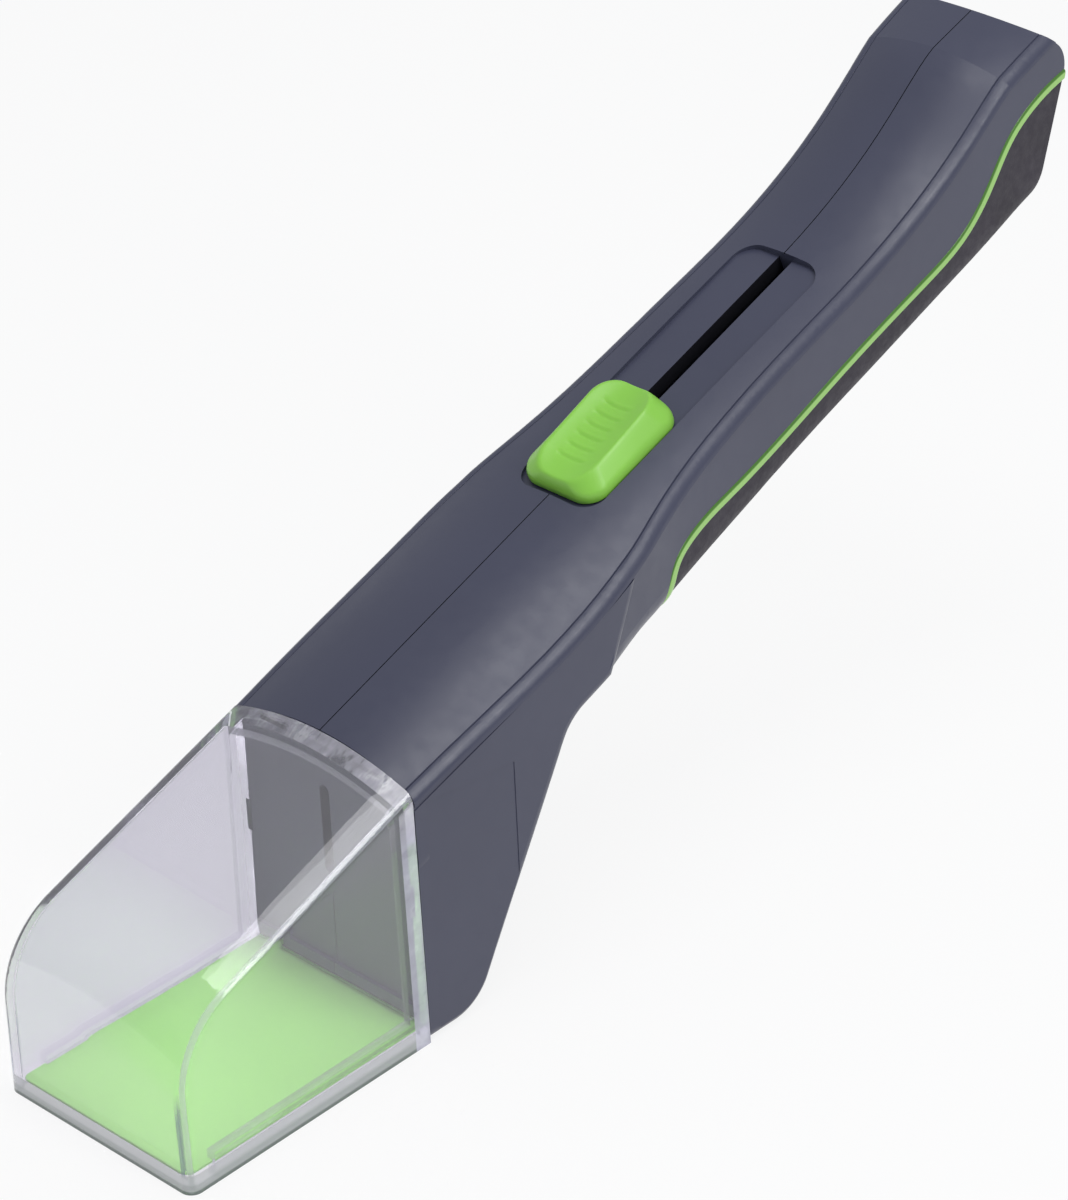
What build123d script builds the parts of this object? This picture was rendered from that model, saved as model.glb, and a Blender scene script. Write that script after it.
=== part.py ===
from build123d import *
import os
from math import cos, radians, sin, tan

os.makedirs("parts", exist_ok=True)

# A hand-held spider catcher. A clear chamber is set down over the insect, and a
# flexible shutter slides across its mouth when the thumb button is pushed
# forwards. Millimetres, +Z up. The origin is the centre of the capture mouth on
# the rim plane, +Y runs from the chamber's nose to the handle's butt.

# Chamber
chamber_width = 57.8
chamber_length = 71.0
chamber_wall = 2.0
chamber_crown = 5.0
side_draft = 1.2
nose_radius = 22.5
chamber_edge_radius = 3.0
frame_depth = 4.6
frame_wall = 3.8

# Rails that carry the shutter across the mouth
rail_width = 2.4
rail_height = 6.2
rail_setback = 8.5
rail_slot_floor = 2.7
rail_slot_height = 1.25
rail_slot_depth = 1.4

# Body: one long moulding in two halves, rising from the chamber at one angle
rise = 19.5
seam_height = 68.5
body_reach = 242.4
head_half = 29.1
body_crown = 5.6
handle_depth = 31.8
tail_lift = 12.6
corner_radius = 9.0
wall = 2.6
bead_width = 3.2
bead_drop = 2.8
bead_groove = 0.4
bead_stand = 0.4
waist_lean = 5.5
seam_gap = 0.24
seam_depth = 0.6

# Head: the block behind the chamber, whose rear wall leads the shutter up
heel_length = 16.0
heel_radius = 13.0
rear_wall_angle = 61.5
head_underside = 25.0
head_waist_radius = 12.0
head_shoulder = 8.3
head_draft = 1.1
head_edge_radius = 3.0
panel_setback = 3.3
panel_reach = 29.2
panel_front_height = 60.3
panel_rear_height = 58.0
panel_depth = 0.15

# Butt end
butt_lean = 6.3
butt_brow = 1.5
butt_foot = 21.5
butt_under = 28.0
butt_slope = 8.0
butt_round = 8.0
butt_foot_round = 14.0

# Rubber grip and its green edge strip
grip_thickness = 1.2
trim_width = 2.3
trim_stand = 0.35
rib_radius = 1.6
rib_bite = 0.5
rib_pitch = 11.0
rib_count = 7
rib_start = 112.0

# Thumb button
travel = 48.0
button_length = 34.4
button_width = 23.0
button_skirt = 2.5
button_rise = 6.5
button_top_length = 28.6
button_top_width = 13.2
button_top_corner = 4.0
button_corner = 5.0
button_edge = 1.2
button_start = 77.8
dish_radius = 75.0
dish_depth = 1.3
ridge_count = 6
ridge_pitch = 3.5
ridge_radius = 0.6
ridge_length = 9.0

# Recess and slot that the button runs in
recess_floor = 1.9
recess_margin = 0.9
recess_corner = 5.5
slot_width = 4.0
web_width = 3.4
web_length = 22.0

# Carriage below the slot, the clamp under it and the rails that hold it up
pad_floor = 5.8
pad_half = 14.5
pad_margin = 3.0
carriage_thickness = 3.0
carriage_half = 15.5
guide_inner = 13.2
guide_thickness = 2.0
clamp_thickness = 1.4
clamp_half = 10.0
clamp_length = 26.0
slider_screw_shank = 0.8
slider_screw_pilot = 0.85
slider_screw_clearance = 1.0
slider_screw_head = 1.7
slider_screw_head_height = 1.2
slider_screw_spacing = 12.0
slider_screw_bite = 3.6

# Shutter: one flexible sheet, flat over the mouth and bent up inside the head
shutter_thickness = 0.7
shutter_half = 25.6
strap_half = 12.0
shutter_corner = 1.5
shutter_gap = 0.35
wide_wall_run = 19.5
strap_bend_radius = 30.0
lead_rib_reach = 2.6
lead_rib_thickness = 1.5
lead_rib_gap = 0.5

# Chamber latches and the bulkhead behind the chamber
joint_gap = 0.25
latch_width = 8.0
latch_reach = 7.0
latch_thickness = 1.4
latch_hook = 0.5
latch_hook_length = 2.0
latch_offset = 14.0
latch_height = 36.0
latch_seat = 0.2
window_width = 2.8
window_low = 31.5
window_high = 54.0
sill_height = 3.0
sill_depth = 1.1
sill_lift = 5.4
sill_half = 23.8

# Body screws, sunk from the side away from the thumb's view
boss_radius = 3.4
well_wall = 1.2
screw_clearance_radius = 1.6
screw_pilot_radius = 1.25
screw_shank_radius = 1.2
screw_head_radius = 2.7
screw_well_radius = 3.0
screw_head_height = 2.0
screw_half_length = 9.0

# General clearances
fit_gap = 0.3
overrun = 12.0

# Worked-out places
chamber_half = chamber_width / 2
joint_y = chamber_length / 2
rise_cos = cos(radians(rise))
rise_sin = sin(radians(rise))
rise_tan = tan(radians(rise))
sheet_level = rail_slot_floor + rail_slot_height / 2
mouth_half = chamber_half - chamber_wall - rail_width
button_stop = button_start + button_length
recess_begin = button_start - recess_margin
recess_end = button_stop + travel + recess_margin
recess_half = button_width / 2 + fit_gap
button_foot = fit_gap - recess_floor
carriage_top = -pad_floor - fit_gap
carriage_under = carriage_top - carriage_thickness
clamp_top = carriage_under - shutter_thickness
clamp_under = clamp_top - clamp_thickness
strap_level = (carriage_under + clamp_top) / 2
carriage_middle = button_start + button_length / 2
inner_half = head_half - wall

# Cross-sections along the body, front to back: the place along the body as a
# share of its reach, then shares of the head's half width, of the tail's lift,
# of the crown, of the depth and of the sides' lean at the waist. The first group
# is the head, the second the waist and handle, the third the band at the butt.
head_shares = [
    (-0.058, 0.957, 0.0, 0.72, 0.92, 0.0),
    (0.041, 0.972, 0.0, 0.82, 0.92, 0.0),
    (0.131, 0.993, 0.0, 0.95, 0.92, 0.0),
    (0.205, 0.996, 0.0, 1.0, 0.93, 0.25),
    (0.250, 0.984, 0.0, 0.94, 0.92, 0.9),
    (0.300, 0.948, 0.0, 0.82, 0.91, 1.0),
]
handle_shares = [
    (0.300, 0.948, 0.0, 0.82, 0.91, 1.0),
    (0.353, 0.872, 0.0, 0.63, 0.94, 0.4),
    (0.402, 0.802, 0.0, 0.52, 0.97, 0.0),
    (0.460, 0.755, 0.0, 0.45, 1.0, 0.0),
    (0.575, 0.720, 0.0, 0.41, 1.0, 0.0),
    (0.678, 0.712, 0.0, 0.43, 1.0, 0.0),
    (0.764, 0.712, 0.180, 0.50, 0.99, 0.0),
    (0.821, 0.716, 0.440, 0.58, 0.98, 0.0),
    (0.871, 0.720, 0.760, 0.64, 0.96, 0.0),
    (0.915, 0.726, 0.99, 0.54, 0.94, 0.0),
]
butt_shares = [
    (0.915, 0.726, 0.99, 0.54, 0.94, 0.0),
    (0.965, 0.735, 0.97, 0.38, 0.94, 0.0),
    (1.020, 0.742, 0.95, 0.32, 0.94, 0.0),
]

# The head block's sides follow the body's: places and half widths, as above. It
# ends at the waist's crease, which leans from a place on its underside to one on
# the seam line.
block_shares = [(-0.150, 0.948)] + [row[:2] for row in head_shares + handle_shares[1:2]]
crease_shares = (0.232, 0.340)
# The waist's rounding takes at most this share of the underside in front of the crease.
waist_round_share = 0.9

# The edge line between shell and grip, seen from the side: shares of the body's
# reach and of the handle's depth below the seam.
trim_shares = [
    (0.311, 1.12),
    (0.330, 0.740),
    (0.350, 0.560),
    (0.384, 0.503),
    (0.452, 0.556),
    (0.62, 0.565),
    (0.745, 0.560),
    (0.812, 0.515),
    (0.860, 0.335),
    (0.900, 0.135),
    (0.943, 0.045),
    (0.987, 0.045),
    (1.03, 0.110),
]

# The body screws: two in the head, by the heel's length and the seam's height, and
# three behind it, by the body's reach and the handle's depth below the seam line.
head_screw_shares = [(0.75, 0.496), (1.875, 0.9635)]
body_screw_shares = [(0.2723, 0.550), (0.528, 0.723), (0.912, -0.126)]


def along(reach, rise_over=0.0, side=0.0):
    """A point by its place along the body, its height over the seam line and its side."""
    y = joint_y + reach * rise_cos - rise_over * rise_sin
    z = seam_height + reach * rise_sin + rise_over * rise_cos
    return (side, y, z)


def level_of(point):
    """A point's height over the seam line, square to the body."""
    return (point.Z - seam_height) * rise_cos - (point.Y - joint_y) * rise_sin


def cross_plane(reach):
    """The plane square to the body at a place along it: X to the side, Y up."""
    return Plane(origin=along(reach), x_dir=(1, 0, 0), z_dir=(0, -rise_cos, -rise_sin))


def plan_plane(level):
    """The plane along the body at a level over the seam line, seen from above."""
    return Plane(
        origin=along(0, level),
        x_dir=(0, rise_cos, rise_sin),
        z_dir=(0, -rise_sin, rise_cos),
    )


body_side = Plane(origin=along(0), x_dir=(0, rise_cos, rise_sin), z_dir=(1, 0, 0))
head_side = Plane(origin=(0, joint_y, 0), x_dir=(0, 1, 0), z_dir=(1, 0, 0))


def chamber_section(side, inset, foot, rear):
    """The chamber's outline in the upright plane at a given side."""
    drop = chamber_crown * (side / chamber_half) ** 2
    roof = seam_height - (drop + inset) / rise_cos
    front = inset - chamber_length
    radius = nose_radius - inset
    reach = radius * tan(radians((90 - rise) / 2))
    corner = roof + front * rise_tan
    turn = radians((270 + rise) / 2)
    middle = (front + radius + radius * cos(turn), corner - reach + radius * sin(turn))
    plane = Plane(origin=(side, joint_y, 0), x_dir=(0, 1, 0), z_dir=(1, 0, 0))
    with BuildSketch(plane) as section:
        with BuildLine():
            back = Line((rear, foot), (rear, roof + rear * rise_tan))
            top = Line(back @ 1, (front + reach * rise_cos, corner + reach * rise_sin))
            nose = ThreePointArc(top @ 1, middle, (front, corner - reach))
            face = Line(nose @ 1, (front, foot))
            Line(face @ 1, back @ 0)
        make_face()
    return section.sketch


def chamber_form(inset, foot, rear):
    """The chamber's outer form, or with an inset the hollow inside it."""
    draft = tan(radians(side_draft))
    ceiling = seam_height + overrun
    spread = chamber_half + chamber_wall
    stations = [spread * share for share in (-1, -0.5, 0, 0.5, 1)]
    with BuildPart() as form:
        loft([chamber_section(side, inset, foot, rear) for side in stations])
        low_half = chamber_half - inset - foot * draft
        high_half = chamber_half - inset - ceiling * draft
        with BuildSketch(Plane.XZ.offset(-chamber_length)):
            with BuildLine():
                Polyline(
                    (-low_half, foot),
                    (low_half, foot),
                    (high_half, ceiling),
                    (-high_half, ceiling),
                    close=True,
                )
            make_face()
        extrude(amount=2 * chamber_length, mode=Mode.INTERSECT)
        rims = (
            form.edges()
            .filter_by(lambda edge: abs(edge.center().X) > mouth_half)
            .filter_by(lambda edge: edge.center().Z > foot + fit_gap)
            .filter_by(lambda edge: edge.center().Y < joint_y + rear - fit_gap)
        )
        fillet(rims, chamber_edge_radius - inset / 2)
    return form.part


def side_foot(half, shoulder, floor, corner, lean):
    """Where a side that leans in below its shoulder turns under: start, middle, end."""
    height = shoulder - floor - corner
    middle = half - (corner + height * sin(lean)) / cos(lean)
    points = []
    for turn in (lean, (lean + radians(90)) / 2, radians(90)):
        points.append((middle + corner * cos(turn), floor + corner - corner * sin(turn)))
    return points


def plain_section(plane, half, top, crown, floor, corner, lean):
    """A body section without its bead: crowned top, plain sides, rounded floor."""
    shoulder = top - crown
    start, turn, end = side_foot(half, shoulder, floor, corner, lean)
    with BuildSketch(plane) as section:
        with BuildLine() as outline:
            Line((0, floor), end)
            ThreePointArc(end, turn, start)
            Line(start, (half, shoulder))
            mirror(outline.line, about=Plane.YZ)
            ThreePointArc((-half, shoulder), (0, top), (half, shoulder))
        make_face()
    return section.sketch


def beaded_section(plane, half, top, crown, floor, corner, lean):
    """A body section with the raised bead along each shoulder, between fine grooves."""
    side = half - bead_stand
    inner = half - bead_width
    shoulder = top - crown
    groove = (inner + bead_groove / 2, shoulder - bead_groove)
    bead_top = (inner + bead_groove, shoulder - bead_groove / 4)
    bead_mid = (half - bead_width / 4, shoulder - bead_drop / 3)
    bead_end = (half, shoulder - bead_drop)
    under_bead = (side, shoulder - bead_drop - bead_groove)
    start, turn, end = side_foot(side, under_bead[1], floor, corner, lean)
    with BuildSketch(plane) as section:
        with BuildLine() as outline:
            Line((0, floor), end)
            ThreePointArc(end, turn, start)
            Polyline(start, under_bead, bead_end)
            ThreePointArc(bead_end, bead_mid, bead_top)
            Polyline(bead_top, groove, (inner, shoulder))
            mirror(outline.line, about=Plane.YZ)
            ThreePointArc((-inner, shoulder), (0, top), (inner, shoulder))
        make_face()
    return section.sketch


def body_limit(inset):
    """The side view's limit at the butt end, left open far in front and above."""
    top = tail_lift + handle_depth
    corners = (
        (-handle_depth, top),
        (body_reach - butt_lean, top),
        (body_reach - butt_lean, tail_lift),
        (body_reach, butt_brow),
        (body_reach - butt_foot, -butt_under),
        (body_reach - butt_foot - butt_slope, -handle_depth - overrun / 3),
        (-handle_depth, -handle_depth - overrun / 3),
    )
    rounds = (0, 0, 0, butt_round, butt_foot_round, 0, 0)
    with BuildSketch(body_side.offset(-head_half - overrun)) as limit:
        with BuildLine():
            FilletPolyline(*corners, radius=rounds, close=True)
        make_face()
        if inset:
            offset(amount=-inset)
    return limit.sketch


def body_form(inset, beaded):
    """The long crowned body, with or without its beads, drawn in by an inset."""
    with BuildPart() as form:
        for group in (head_shares, handle_shares, butt_shares):
            sections = []
            for place, width, lift, crown, depth, lean_share in group:
                plane = cross_plane(place * body_reach)
                lean = lean_share * radians(waist_lean)
                top = lift * tail_lift - inset
                floor = inset - depth * handle_depth
                drop = crown * body_crown
                if beaded:
                    half = width * head_half
                    sections.append(
                        beaded_section(plane, half, top, drop, floor, corner_radius, lean)
                    )
                else:
                    half = width * head_half - bead_stand - inset
                    drop = drop + bead_drop / 2
                    corner = corner_radius - inset
                    sections.append(plain_section(plane, half, top, drop, floor, corner, lean))
            loft(sections)
        extrude(body_limit(inset), amount=2 * (head_half + overrun), mode=Mode.INTERSECT)
    return form.part


def head_sides(inset):
    """The head block's drafted sides, drawn far longer and deeper than the block."""
    low = -seam_height - overrun
    high = -head_shoulder - inset
    spread = (high - low) * tan(radians(head_draft))
    with BuildPart() as form:
        for place, width in block_shares:
            high_half = width * head_half - bead_stand / 2 - inset
            low_half = high_half + spread
            with BuildSketch(cross_plane(place * body_reach)):
                with BuildLine():
                    Polyline(
                        (-low_half, low),
                        (low_half, low),
                        (high_half, high),
                        (-high_half, high),
                        close=True,
                    )
                make_face()
        loft()
    return form.part


def head_block(inset):
    """The block under the body's front end, or with an inset the hollow in it."""
    tilt = radians(rear_wall_angle)
    drop = rise_cos * seam_height + rise_sin * heel_length
    bend = tilt - radians(rise)
    climb = (drop - head_underside) / sin(bend)
    wall_top = (heel_length + climb * cos(tilt), climb * sin(tilt))
    wall_reach = wall_top[0] * rise_cos + (wall_top[1] - seam_height) * rise_sin
    waist_room = crease_shares[0] * body_reach - wall_reach
    waist_round = min(head_waist_radius, waist_round_share * waist_room / tan(bend / 2))
    crease_foot = along(crease_shares[0] * body_reach, -head_underside)
    crease_top = along(crease_shares[1] * body_reach)
    corners = (
        (0, 0),
        (heel_length, 0),
        wall_top,
        (crease_foot[1] - joint_y, crease_foot[2]),
        (crease_top[1] - joint_y, crease_top[2]),
        (0, seam_height),
    )
    rounds = (0, heel_radius, waist_round, 0, 0, 0)
    with BuildPart() as block:
        add(head_sides(inset))
        with BuildSketch(head_side.offset(-head_half - overrun)):
            with BuildLine():
                FilletPolyline(*corners, radius=rounds, close=True)
            make_face()
            if inset:
                offset(amount=-inset)
        extrude(amount=2 * (head_half + overrun), mode=Mode.INTERSECT)
        if inset < head_edge_radius / 2:
            under = -head_shoulder - inset - fit_gap
            rims = (
                block.edges()
                .filter_by(lambda edge: abs(edge.center().X) > strap_half)
                .filter_by(lambda edge: edge.center().Y > joint_y + inset + fit_gap)
                .filter_by(lambda edge: level_of(edge.center()) < under)
            )
            fillet(rims, head_edge_radius - inset)
    return block.part


def sheet_strip(low, high, side, wall_run, strap_run):
    """A strip along the shutter's path behind the joint, between two distances from
    the sheet's middle: along the floor, round the heel, up the rear wall and, with a
    strap run, over to the strap's level. Drawn in the upright plane at a given side."""
    tilt = radians(rear_wall_angle)
    standoff = wall + shutter_gap + shutter_thickness / 2
    foot = heel_length - standoff / sin(tilt)
    heel = heel_radius - standoff
    heel_reach = heel * tan(tilt / 2)
    start = foot + sheet_level / tan(tilt) - heel_reach
    bend = rear_wall_angle - rise
    drop = rise_cos * seam_height + rise_sin * foot + strap_level
    climb = drop / sin(radians(bend)) - sheet_level / sin(tilt) - heel_reach
    straight = climb - strap_bend_radius * tan(radians(bend / 2))
    heads = []
    tails = []
    with BuildSketch(head_side.offset(side)) as strip:
        with BuildLine():
            for shift in (low, high):
                floor = Line((0, sheet_level + shift), (start, sheet_level + shift))
                heel_turn = JernArc(floor @ 1, (1, 0), heel - shift, rear_wall_angle)
                last = PolarLine(heel_turn @ 1, wall_run or straight, rear_wall_angle)
                if strap_run:
                    radius = strap_bend_radius + shift
                    over = JernArc(last @ 1, last % 1, radius, -bend)
                    last = PolarLine(over @ 1, strap_run, rise)
                heads.append(floor @ 0)
                tails.append(last @ 1)
            Line(*heads)
            Line(*tails)
        make_face()
    return strip.sketch


def strap_start():
    """Where the strap's straight run begins, as a place along the body."""
    tilt = radians(rear_wall_angle)
    bend = rear_wall_angle - rise
    foot = heel_length - (wall + shutter_gap + shutter_thickness / 2) / sin(tilt)
    climb = (rise_cos * seam_height + rise_sin * foot + strap_level) / sin(radians(bend))
    reach = foot + climb * cos(tilt)
    rise_over = climb * sin(tilt) - seam_height
    corner = reach * rise_cos + rise_over * rise_sin
    return corner + strap_bend_radius * tan(radians(bend / 2))


def edge_line(shift):
    """The spline between shell and grip, shifted square to itself by a distance."""
    points = [
        Vector(place * body_reach, -depth * handle_depth) for place, depth in trim_shares
    ]
    moved = []
    for index, point in enumerate(points):
        before = points[max(index - 1, 0)]
        after = points[min(index + 1, len(points) - 1)]
        heading = (after - before).normalized()
        moved.append(point + Vector(heading.Y, -heading.X) * shift)
    return moved


def grip_zone(shift):
    """The region of the side view below the grip's edge line."""
    floor = -2 * handle_depth
    line = edge_line(shift)
    with BuildSketch(body_side.offset(-head_half - overrun)) as zone:
        with BuildLine():
            edge = Spline(*line)
            Polyline(edge @ 1, ((edge @ 1).X, floor), ((edge @ 0).X, floor), edge @ 0)
        make_face()
    return zone.sketch


def grip_skin(outer, shift_high, shift_low):
    """A skin over the shell between two shifted edge lines, or below the first."""
    width = 2 * (head_half + overrun)
    with BuildPart() as skin:
        add(body_form(outer, False))
        extrude(grip_zone(shift_high), amount=width, mode=Mode.INTERSECT)
        if shift_low:
            extrude(grip_zone(shift_low), amount=width, mode=Mode.SUBTRACT)
        add(body_form(grip_thickness, False), mode=Mode.SUBTRACT)
    return skin.part


def latch_boxes(room, reach):
    """Places and sizes of the four latch tongues, grown by some room all round."""
    draft = tan(radians(side_draft))
    roof = seam_height - chamber_crown * (latch_offset / chamber_half) ** 2
    top_level = roof - frame_wall / rise_cos + latch_thickness / 2
    side_level = chamber_half - frame_wall - latch_height * draft + latch_thickness / 2
    thick = latch_thickness + 2 * room
    broad = latch_width + 2 * room
    start = joint_y - frame_depth / 2
    length = reach + frame_depth / 2
    boxes = []
    for hand in (-1, 1):
        boxes.append(((hand * latch_offset, start, top_level), (broad, length, thick)))
        boxes.append(((hand * side_level, start, latch_height), (thick, length, broad)))
    return boxes


joint_plane = Plane(origin=(0, joint_y, 0), x_dir=(-1, 0, 0), z_dir=(0, 1, 0))
bulkhead_plane = joint_plane.offset(wall)
recess_middle = (recess_begin + recess_end) / 2

# Where the body screws cross the body, as places in the head's side view
screw_places = [
    (length * heel_length, height * seam_height) for length, height in head_screw_shares
]
for place, depth in body_screw_shares:
    crossing = along(place * body_reach, -depth * handle_depth)
    screw_places.append((crossing[1] - joint_y, crossing[2]))

# Everything the hollow body holds on its inner walls
with BuildPart() as inner_walls:
    add(body_form(wall / 2, False))
    add(head_block(wall / 2))

with BuildPart() as fittings:
    # the pad that thickens the roof under the recess
    with BuildSketch(plan_plane(-pad_floor)):
        with Locations((recess_middle, 0)):
            Rectangle(recess_end - recess_begin + 2 * pad_margin, 2 * pad_half)
    extrude(amount=pad_floor - recess_floor)
    # the two rails that hold the carriage up
    guide_middle = guide_inner + inner_half
    with BuildSketch(plan_plane(carriage_under - fit_gap)):
        with Locations((recess_middle, guide_middle), (recess_middle, -guide_middle)):
            Rectangle(recess_end - recess_begin + 2 * pad_margin, 2 * inner_half)
    extrude(amount=-guide_thickness)
    # the ribs that lead the shutter's edges up the rear wall
    inner = shutter_thickness / 2 + lead_rib_gap
    for side in (shutter_half - lead_rib_reach, -head_half):
        strip = sheet_strip(inner, inner + lead_rib_thickness, side, 0, 0)
        extrude(strip, amount=head_half - shutter_half + lead_rib_reach)
    # the screw bosses, stouter on the side the screws enter
    with BuildSketch(head_side):
        with Locations(*screw_places):
            Circle(boss_radius)
    extrude(amount=head_half)
    with BuildSketch(head_side):
        with Locations(*screw_places):
            Circle(screw_well_radius + well_wall)
    extrude(amount=-head_half)
    add(inner_walls, mode=Mode.INTERSECT)

with BuildPart() as hollow:
    add(body_form(wall, False))
    add(head_block(wall))
    split(bisect_by=bulkhead_plane)

with BuildPart() as seam:
    with BuildSketch(Plane.YZ.offset(-seam_gap / 2)):
        with Locations((joint_y + body_reach / 2, body_reach / 2)):
            Rectangle(2 * body_reach, 2 * body_reach)
    extrude(amount=seam_gap)
    add(body_form(seam_depth, False), mode=Mode.SUBTRACT)
    add(head_block(seam_depth), mode=Mode.SUBTRACT)

with BuildPart() as panels:
    with BuildSketch(head_side.offset(-head_half - overrun)):
        with BuildLine():
            Polyline(
                (panel_setback, -overrun),
                (panel_reach, -overrun),
                (panel_reach, panel_rear_height),
                (panel_setback, panel_front_height),
                close=True,
            )
        make_face()
    extrude(amount=2 * (head_half + overrun))
    add(head_sides(panel_depth), mode=Mode.SUBTRACT)

with BuildPart() as skin_space:
    add(body_form(-trim_stand, False))
    extrude(grip_zone(0), amount=2 * (head_half + overrun), mode=Mode.INTERSECT)
    add(body_form(grip_thickness, False), mode=Mode.SUBTRACT)

with BuildPart() as housing:
    add(body_form(0, True))
    add(head_block(0))
    split(bisect_by=joint_plane)
    add(hollow, mode=Mode.SUBTRACT)
    add(fittings)
    # the thumb recess and the slot through its floor
    with BuildSketch(plan_plane(-recess_floor)):
        with Locations((recess_middle, 0)):
            RectangleRounded(recess_end - recess_begin, 2 * recess_half, recess_corner)
    extrude(amount=overrun, mode=Mode.SUBTRACT)
    slot_start = carriage_middle - web_length / 2 - fit_gap
    with BuildSketch(plan_plane(-recess_floor)):
        with Locations(((slot_start + recess_end) / 2, 0)):
            Rectangle(recess_end - slot_start, slot_width)
    extrude(amount=-pad_floor, mode=Mode.SUBTRACT)
    # the bulkhead's window, shutter slit and latch holes
    with BuildSketch(joint_plane):
        with Locations((0, (window_low + window_high) / 2)):
            SlotOverall(window_high - window_low, window_width, rotation=90)
        with Locations((0, sheet_level)):
            Rectangle(2 * (shutter_half + shutter_gap), shutter_thickness + 2 * shutter_gap)
    extrude(amount=wall, mode=Mode.SUBTRACT)
    for place, size in latch_boxes(latch_seat, latch_reach + latch_seat):
        with Locations(place):
            Box(
                *size,
                align=(Align.CENTER, Align.MIN, Align.CENTER),
                mode=Mode.SUBTRACT,
            )
    # the sill over the shutter slit
    with BuildSketch(joint_plane):
        with Locations((0, sill_lift + sill_height / 2)):
            Rectangle(2 * sill_half, sill_height)
    extrude(amount=-sill_depth)
    add(seam, mode=Mode.SUBTRACT)
    add(panels, mode=Mode.SUBTRACT)
    add(skin_space, mode=Mode.SUBTRACT)

# The right half has the wells and the clearance holes of the screws
with BuildPart() as right_shell:
    add(housing)
    split(bisect_by=Plane.YZ, keep=Keep.BOTTOM)
    with BuildSketch(head_side):
        with Locations(*screw_places):
            Circle(screw_clearance_radius)
    extrude(amount=-head_half, mode=Mode.SUBTRACT)
    with BuildSketch(head_side.offset(-screw_half_length)):
        with Locations(*screw_places):
            Circle(screw_well_radius)
    extrude(amount=-head_half, mode=Mode.SUBTRACT)
right_shell.part.label = "right_shell"
export_step(right_shell.part, "parts/right_shell.step")

# The left half has the pilot holes
with BuildPart() as left_shell:
    add(housing)
    split(bisect_by=Plane.YZ, keep=Keep.TOP)
    with BuildSketch(head_side):
        with Locations(*screw_places):
            Circle(screw_pilot_radius)
    extrude(amount=screw_half_length + fit_gap, mode=Mode.SUBTRACT)
left_shell.part.label = "left_shell"
export_step(left_shell.part, "parts/left_shell.step")

# Five equal screws close the body
with BuildPart() as shell_screws:
    with BuildSketch(head_side.offset(-screw_half_length)):
        with Locations(*screw_places):
            Circle(screw_head_radius)
    extrude(amount=-screw_head_height)
    with BuildSketch(head_side.offset(-screw_half_length)):
        with Locations(*screw_places):
            Circle(screw_shank_radius)
    extrude(amount=2 * screw_half_length)
    with BuildSketch(head_side.offset(-screw_half_length - screw_head_height)):
        with Locations(*screw_places):
            Rectangle(2 * screw_shank_radius, screw_shank_radius / 3)
            Rectangle(screw_shank_radius / 3, 2 * screw_shank_radius)
    extrude(amount=screw_head_height / 2, mode=Mode.SUBTRACT)
shell_screws.part.label = "shell_screws"
export_step(shell_screws.part, "parts/shell_screws.step")

# Rubber grip skins and the green strips along their upper edge
with BuildPart() as left_grip:
    add(grip_skin(0, trim_width, 0))
    for index in range(rib_count):
        level = rib_bite - rib_radius - handle_depth
        place = along(rib_start + index * rib_pitch, level)
        with Locations(Location(place, (0, 90, 0))):
            Cylinder(rib_radius, 2 * head_half, mode=Mode.SUBTRACT)
    split(bisect_by=Plane.YZ, keep=Keep.TOP)
left_grip.part.label = "left_grip"
export_step(left_grip.part, "parts/left_grip.step")

with BuildPart() as right_grip:
    mirror(left_grip.part, about=Plane.YZ)
right_grip.part.label = "right_grip"
export_step(right_grip.part, "parts/right_grip.step")

with BuildPart() as left_trim:
    add(grip_skin(-trim_stand, 0, trim_width))
    split(bisect_by=Plane.YZ, keep=Keep.TOP)
left_trim.part.label = "left_trim"
export_step(left_trim.part, "parts/left_trim.step")

with BuildPart() as right_trim:
    mirror(left_trim.part, about=Plane.YZ)
right_trim.part.label = "right_trim"
export_step(right_trim.part, "parts/right_trim.step")

# The clear chamber: thin walls, a deeper frame at the joint, rails for the shutter
with BuildPart() as rails:
    for side in (-1, 1):
        with BuildSketch(Plane.XY):
            centre = (side * (mouth_half + chamber_half) / 2, (rail_setback - joint_gap) / 2)
            with Locations(centre):
                Rectangle(
                    chamber_half - mouth_half, chamber_length - rail_setback - joint_gap
                )
        extrude(amount=rail_height)
    add(chamber_form(0, 0, -joint_gap), mode=Mode.INTERSECT)

with BuildPart() as chamber:
    add(chamber_form(0, 0, -joint_gap))
    add(chamber_form(chamber_wall, -overrun, -frame_depth), mode=Mode.SUBTRACT)
    add(chamber_form(frame_wall, -overrun, overrun), mode=Mode.SUBTRACT)
    add(rails)
    slot_half = mouth_half + rail_slot_depth
    with BuildSketch(Plane.XY.offset(rail_slot_floor)):
        with Locations((0, chamber_wall / 2)):
            Rectangle(2 * slot_half, chamber_length - chamber_wall)
    extrude(amount=rail_slot_height, mode=Mode.SUBTRACT)
    # the latches reach through the bulkhead and hook behind it
    for place, size in latch_boxes(0, latch_reach):
        with Locations(place):
            Box(*size, align=(Align.CENTER, Align.MIN, Align.CENTER))
    for (across, start, lift), (broad, length, thick) in latch_boxes(0, latch_reach):
        hook_y = joint_y + wall + latch_seat
        inward = -latch_hook * (1 if across > 0 else -1) if broad < thick else 0
        down = -latch_hook if thick < broad else 0
        with Locations((across + inward, hook_y, lift + down)):
            Box(
                broad,
                latch_hook_length,
                thick,
                align=(Align.CENTER, Align.MIN, Align.CENTER),
            )
chamber.part.label = "chamber"
export_step(chamber.part, "parts/chamber.step")

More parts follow.
